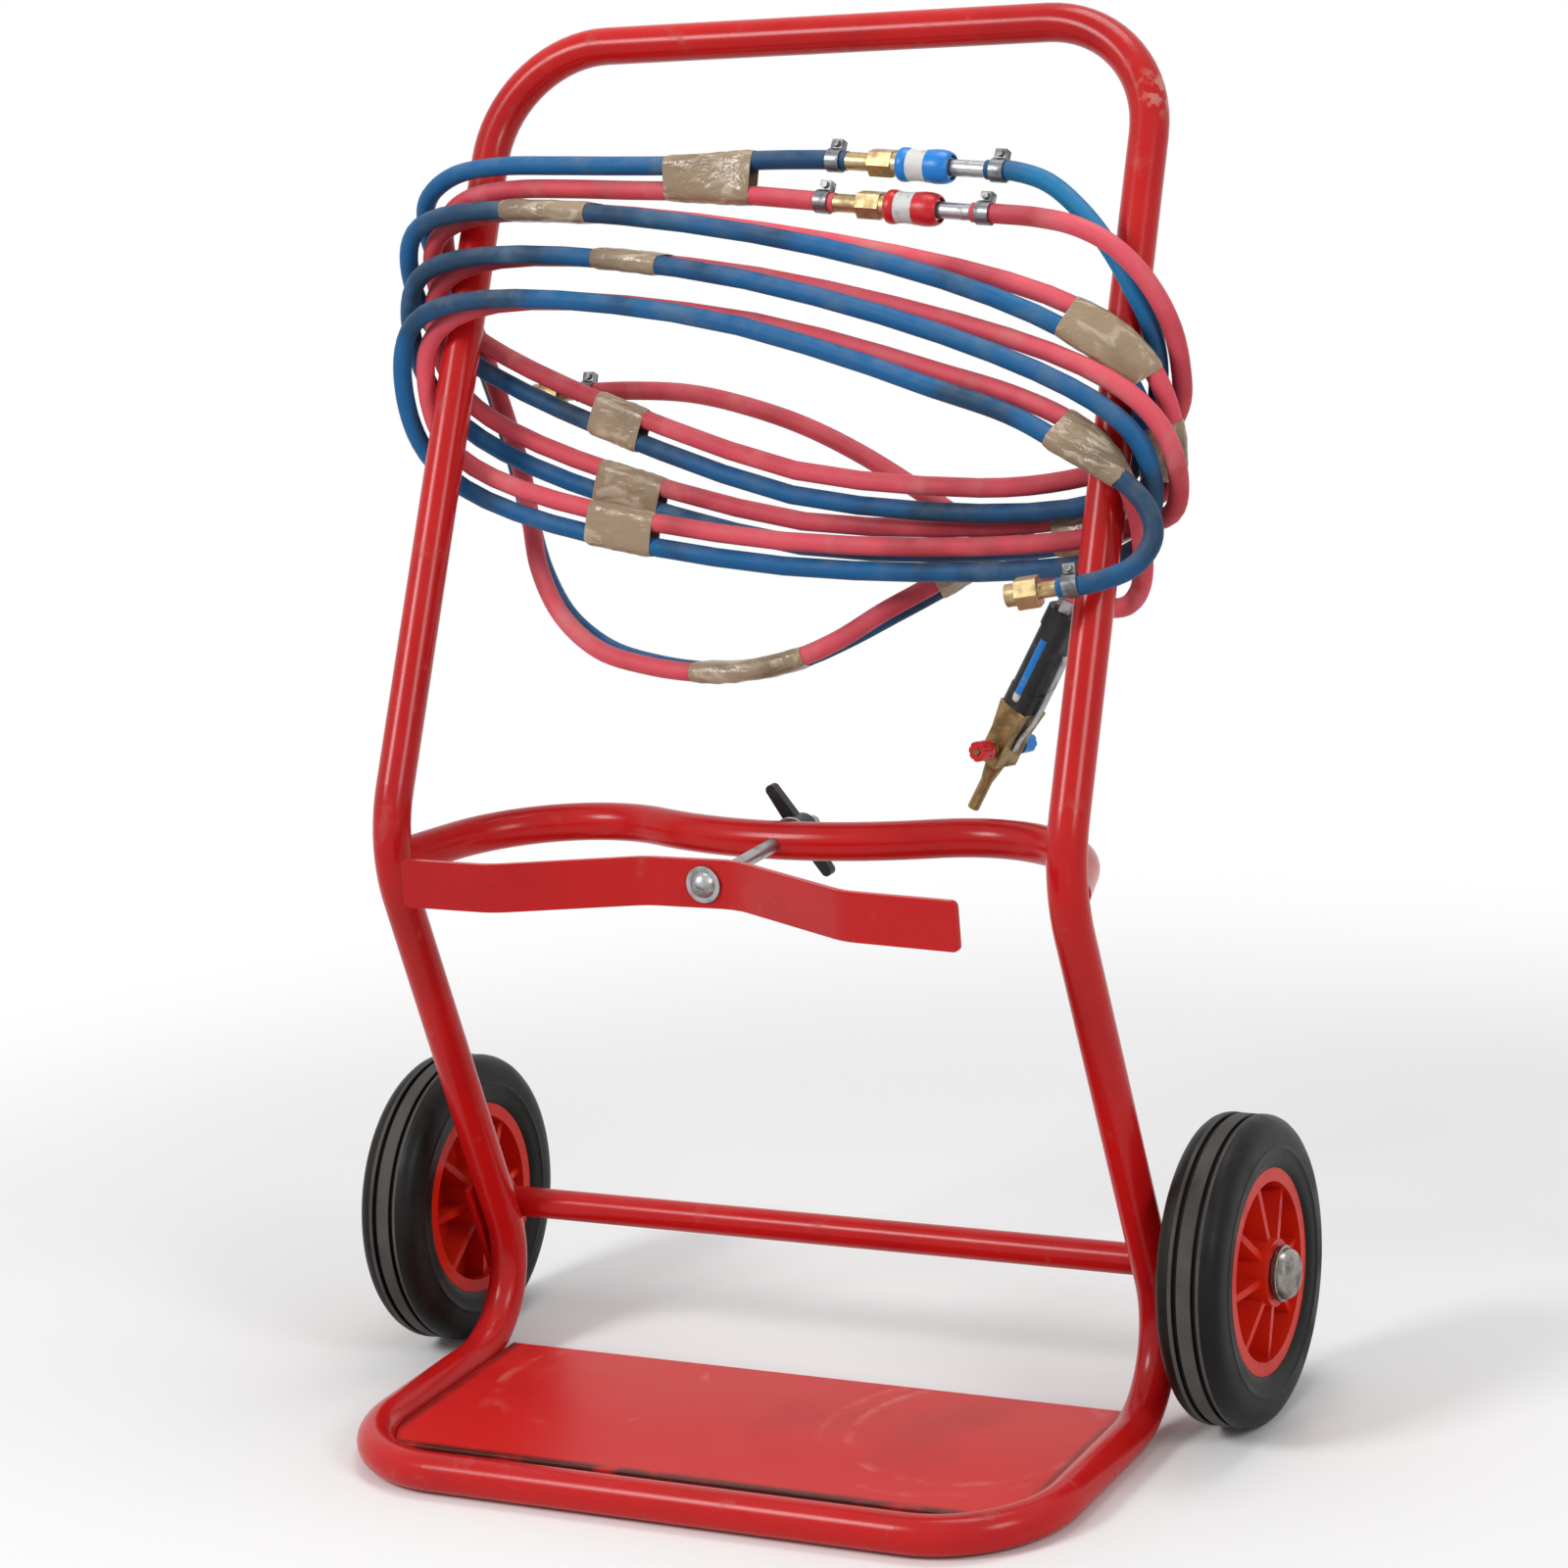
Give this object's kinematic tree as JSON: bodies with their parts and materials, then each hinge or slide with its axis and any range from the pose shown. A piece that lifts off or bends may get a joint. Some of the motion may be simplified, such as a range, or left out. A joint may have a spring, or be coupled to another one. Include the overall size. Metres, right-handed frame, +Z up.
{
  "type": "gas cylinder trolley",
  "caption": "Bent-tube hand trolley for gas cylinders with base plate, clamp strap, rubber-tyred wheels and a wound twin welding hose with couplers and torch.",
  "frame": {"origin": "on the floor, below the middle of the trolley's bounding box without the hose set", "axes": "+X to the trolley's right seen from the front, +Y to its back, +Z up"},
  "size_m": [0.8316, 0.518, 1.13],
  "materials": {
    "frame_paint": "gloss red paint, scuffed",
    "tyre_rubber": "dusty black rubber",
    "rim_plastic": "moulded orange-red plastic",
    "bush_plastic": "plain bearing plastic",
    "zinc_steel": "zinc-plated steel",
    "lever_plastic": "black moulded plastic",
    "torch_grip": "black grip",
    "hose_blue": "dusty blue rubber",
    "hose_red": "faded red rubber",
    "sleeve_blue": "blue plastic",
    "sleeve_red": "red plastic",
    "brass": "aged brass"
  },
  "bodies": {
    "frame": {"left_frame_tube": "frame_paint", "right_frame_tube": "frame_paint", "base_plate": "frame_paint", "cradle": "frame_paint", "axle_tube": "frame_paint", "axle_plates": "frame_paint", "axle": "zinc_steel", "axle_washers": "zinc_steel", "hub_caps": "zinc_steel", "nut_washer": "zinc_steel", "hose_blue_supply": "hose_blue", "hose_red_supply": "hose_red", "hose_blue_torch": "hose_blue", "hose_red_torch": "hose_red", "coupler_body_blue": "brass", "coupler_body_red": "brass", "coupler_plug_blue": "zinc_steel", "coupler_plug_red": "zinc_steel", "hose_clips": "zinc_steel", "end_fittings": "brass", "torch_connectors": "brass", "torch_handle": "torch_grip", "torch_block": "brass", "torch_nozzle": "brass"},
    "wheel_left": {"tyre_left": "tyre_rubber", "rim_left": "rim_plastic", "bush_left": "bush_plastic"},
    "wheel_right": {"tyre_right": "tyre_rubber", "rim_right": "rim_plastic", "bush_right": "bush_plastic"},
    "lever_nut": {"lever_nut": "lever_plastic", "nut_insert": "zinc_steel"},
    "clamp_bolt": {"clamp_bolt": "zinc_steel", "strap_washer": "zinc_steel"},
    "clamp_strap": {"clamp_strap": "frame_paint"},
    "sleeve_blue": {"coupler_sleeve_blue": "sleeve_blue"},
    "sleeve_red": {"coupler_sleeve_red": "sleeve_red"},
    "knob_blue": {"torch_knob_blue": "sleeve_blue"},
    "knob_red": {"torch_knob_red": "sleeve_red"}
  },
  "joints": [
    {"name": "wheel_left_spin", "type": "hinge", "parent": "frame", "child": "wheel_left", "pos_m": [-0.368, 0.08011, 0.125], "axis": [1, 0, 0], "continuous": true},
    {"name": "wheel_right_spin", "type": "hinge", "parent": "frame", "child": "wheel_right", "pos_m": [0.368, 0.08011, 0.125], "axis": [1, 0, 0], "continuous": true},
    {"name": "nut_turn", "type": "hinge", "parent": "frame", "child": "lever_nut", "pos_m": [0, 0.082, 0.472], "axis": [0, 1, 0], "range_deg": [0, 1800]},
    {"name": "bolt_slide", "type": "slide", "parent": "frame", "child": "clamp_bolt", "axis": [0, -1, 0], "range_m": [0, 0.00875]},
    {"name": "strap_swing", "type": "hinge", "parent": "clamp_bolt", "child": "clamp_strap", "pos_m": [0, -0.081, 0.472], "axis": [0, 1, 0], "range_deg": [-90, 90]},
    {"name": "sleeve_blue_slide", "type": "slide", "parent": "frame", "child": "sleeve_blue", "axis": [-0.9954, 0.0429, 0.0855], "range_m": [0, 0.0045], "stiffness_N_per_m": 1500, "springref_m": -0.002},
    {"name": "sleeve_red_slide", "type": "slide", "parent": "frame", "child": "sleeve_red", "axis": [-0.9953, 0.0436, 0.0869], "range_m": [0, 0.0045], "stiffness_N_per_m": 1500, "springref_m": -0.002},
    {"name": "valve_red_turn", "type": "hinge", "parent": "frame", "child": "knob_red", "pos_m": [0.1456, 0.14152, 0.53047], "axis": [-0.2245, -0.9684, 0.1086], "range_deg": [0, 540]},
    {"name": "valve_blue_turn", "type": "hinge", "parent": "frame", "child": "knob_blue", "pos_m": [0.15817, 0.19575, 0.52439], "axis": [0.2245, 0.9684, -0.1086], "range_deg": [0, 540]}
  ],
  "couplings": [
    {"joint": "nut_turn", "follows": "bolt_slide", "rad_per_m": 3590.4}
  ]
}
